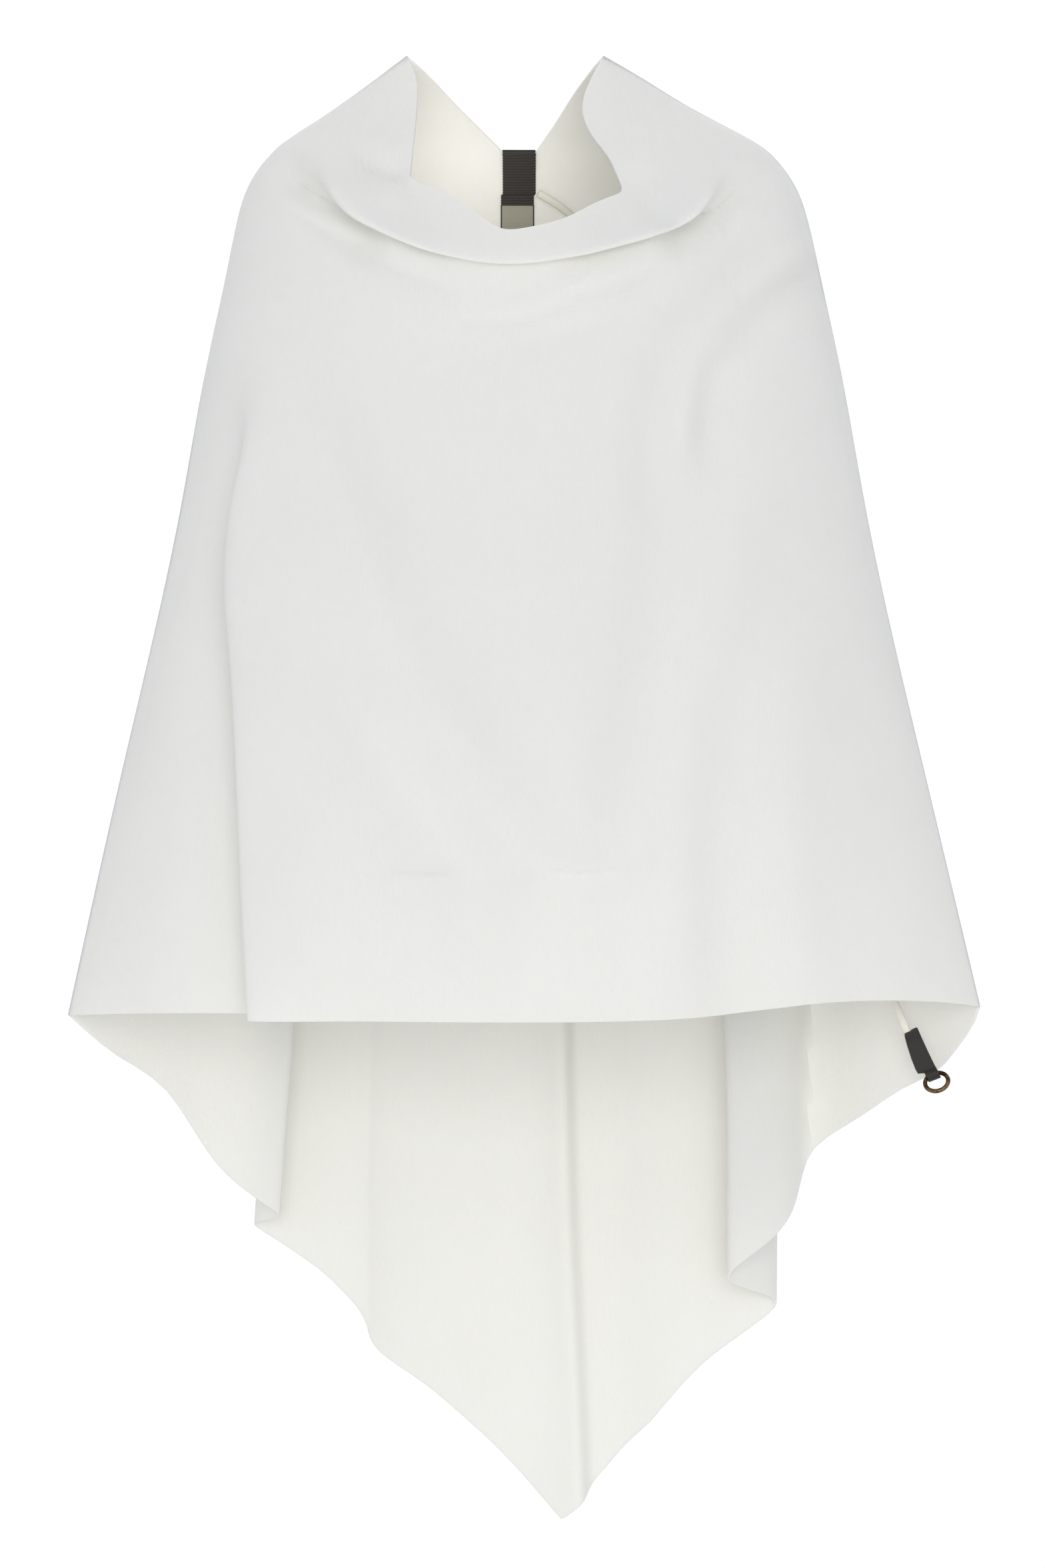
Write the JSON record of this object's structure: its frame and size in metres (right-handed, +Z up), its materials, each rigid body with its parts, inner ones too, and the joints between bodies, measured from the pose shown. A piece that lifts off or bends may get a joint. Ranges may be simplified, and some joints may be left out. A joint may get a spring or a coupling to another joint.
{
  "type": "poncho",
  "caption": "Hollow, worn form of a sleeveless fleece poncho with a soft cowl neck, a straight front hem, a long pointed back, and a ring on a hanging cord.",
  "frame": {"origin": "between the shoulders that carry the cloth, 83 mm below the peaks beside the neck", "axes": "+Z up, the front faces -Y, the wearer's left is at +X"},
  "size_m": [0.6841, 0.2798, 1.1177],
  "materials": {
    "fleece": "brushed off-white knit",
    "grosgrain": "ribbed black ribbon",
    "label_ribbon": "plain grey-beige weave",
    "knitted_cord": "ribbed cream knit",
    "antique_bronze": "darkened and polished"
  },
  "bodies": {
    "garment": {"front_panel": "fleece", "back_panel": "fleece", "neck_tab": "grosgrain", "neck_label": "label_ribbon", "cord": "knitted_cord", "cord_tab": "grosgrain"},
    "ring": {"ring": "antique_bronze"}
  },
  "joints": [
    {"name": "ring_swing", "type": "hinge", "parent": "garment", "child": "ring", "pos_m": [0.3095, 0.005, -0.6813], "axis": [0.9336, 0, 0.3584], "range_deg": [-70, 110]}
  ]
}
